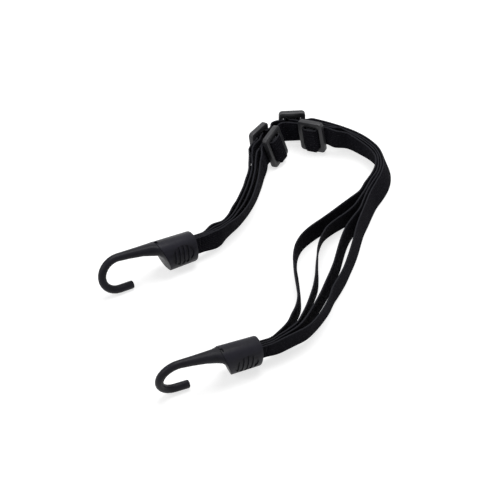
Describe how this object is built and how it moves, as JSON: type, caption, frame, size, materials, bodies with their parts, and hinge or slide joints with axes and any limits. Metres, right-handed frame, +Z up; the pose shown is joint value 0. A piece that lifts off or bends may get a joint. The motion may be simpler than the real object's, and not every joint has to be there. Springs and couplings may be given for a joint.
{
  "type": "bungee strap",
  "caption": "Flat elastic bungee strap: two bands doubled back at moulded end hooks, set to length with tri-glide adjusters.",
  "frame": {"origin": "middle of the strap's bounding box, on the surface it lies on", "axes": "+Z up, -Y towards the open side between the hooks, +X to the right of the picture"},
  "size_m": [0.1896, 0.2534, 0.0278],
  "materials": {
    "hook_plastic": "moulded, fine satin, charcoal black",
    "adjuster_plastic": "moulded, fine grain, black",
    "elastic_webbing": "woven elastic, fine ribs, black",
    "pin_steel": "plain drawn wire"
  },
  "bodies": {
    "bands": {"outer_left_through": "elastic_webbing", "outer_left_return": "elastic_webbing", "inner_left_through": "elastic_webbing", "inner_left_return": "elastic_webbing", "outer_right_through": "elastic_webbing", "outer_right_return": "elastic_webbing", "inner_right_through": "elastic_webbing", "inner_right_return": "elastic_webbing", "outer_middle": "elastic_webbing", "inner_middle": "elastic_webbing"},
    "outer_left_adjuster": {"outer_left_adjuster": "adjuster_plastic", "outer_left_weave": "elastic_webbing", "outer_left_sewn_end": "elastic_webbing"},
    "inner_left_adjuster": {"inner_left_adjuster": "adjuster_plastic", "inner_left_weave": "elastic_webbing", "inner_left_sewn_end": "elastic_webbing"},
    "outer_right_adjuster": {"outer_right_adjuster": "adjuster_plastic", "outer_right_weave": "elastic_webbing", "outer_right_sewn_end": "elastic_webbing"},
    "inner_right_adjuster": {"inner_right_adjuster": "adjuster_plastic", "inner_right_weave": "elastic_webbing", "inner_right_sewn_end": "elastic_webbing"},
    "left_necks": {"left_outer_return_neck": "elastic_webbing", "left_outer_through_neck": "elastic_webbing", "left_inner_return_neck": "elastic_webbing", "left_inner_through_neck": "elastic_webbing"},
    "left_hook": {"left_hook_core": "hook_plastic", "left_hook_cover": "hook_plastic", "left_outer_band_pin": "pin_steel", "left_inner_band_pin": "pin_steel", "left_outer_band_loop": "elastic_webbing", "left_inner_band_loop": "elastic_webbing"},
    "right_necks": {"right_outer_return_neck": "elastic_webbing", "right_outer_through_neck": "elastic_webbing", "right_inner_return_neck": "elastic_webbing", "right_inner_through_neck": "elastic_webbing"},
    "right_hook": {"right_hook_core": "hook_plastic", "right_hook_cover": "hook_plastic", "right_outer_band_pin": "pin_steel", "right_inner_band_pin": "pin_steel", "right_outer_band_loop": "elastic_webbing", "right_inner_band_loop": "elastic_webbing"}
  },
  "joints": [
    {"name": "outer_left_adjuster_slide", "type": "slide", "parent": "bands", "child": "outer_left_adjuster", "axis": [0.5736, 0.8192, 0], "range_m": [-0.012, 0.006], "deforming": ["outer_left_through", "outer_left_return", "inner_left_through", "inner_left_return", "outer_middle", "inner_middle"]},
    {"name": "inner_left_adjuster_slide", "type": "slide", "parent": "bands", "child": "inner_left_adjuster", "axis": [0.4849, 0.8746, 0], "range_m": [-0.012, 0], "deforming": ["outer_left_through", "outer_left_return", "inner_left_through", "inner_left_return", "outer_middle", "inner_middle"]},
    {"name": "outer_right_adjuster_slide", "type": "slide", "parent": "bands", "child": "outer_right_adjuster", "axis": [0.9976, 0.0698, 0], "range_m": [-0.006, 0.012], "deforming": ["outer_right_through", "outer_right_return", "inner_right_through", "inner_right_return", "outer_middle", "inner_middle"]},
    {"name": "inner_right_adjuster_slide", "type": "slide", "parent": "bands", "child": "inner_right_adjuster", "axis": [0.8988, -0.4384, 0], "range_m": [-0.003, 0.012], "deforming": ["outer_right_through", "outer_right_return", "inner_right_through", "inner_right_return", "outer_middle", "inner_middle"]},
    {"name": "left_arm_stretch", "type": "slide", "parent": "bands", "child": "left_necks", "axis": [-0.8517, -0.524, 0], "range_m": [0, 0.08], "stiffness_N_per_m": 400, "deforming": ["outer_left_through", "outer_left_return", "inner_left_through", "inner_left_return"]},
    {"name": "left_hook_swing", "type": "hinge", "parent": "left_necks", "child": "left_hook", "pos_m": [-0.03643, 0.0009, 0.0115], "axis": [0, 0, 1], "range_deg": [-20, 20], "deforming": ["left_outer_return_neck", "left_outer_through_neck", "left_inner_return_neck", "left_inner_through_neck"]},
    {"name": "right_arm_stretch", "type": "slide", "parent": "bands", "child": "right_necks", "axis": [-0.891, -0.454, 0], "range_m": [0, 0.15], "stiffness_N_per_m": 180, "deforming": ["outer_right_through", "outer_right_return", "inner_right_through", "inner_right_return"]},
    {"name": "right_hook_swing", "type": "hinge", "parent": "right_necks", "child": "right_hook", "pos_m": [0.00497, -0.0944, 0.01173], "axis": [0, 0, 1], "range_deg": [-20, 20], "deforming": ["right_outer_return_neck", "right_outer_through_neck", "right_inner_return_neck", "right_inner_through_neck"]}
  ]
}
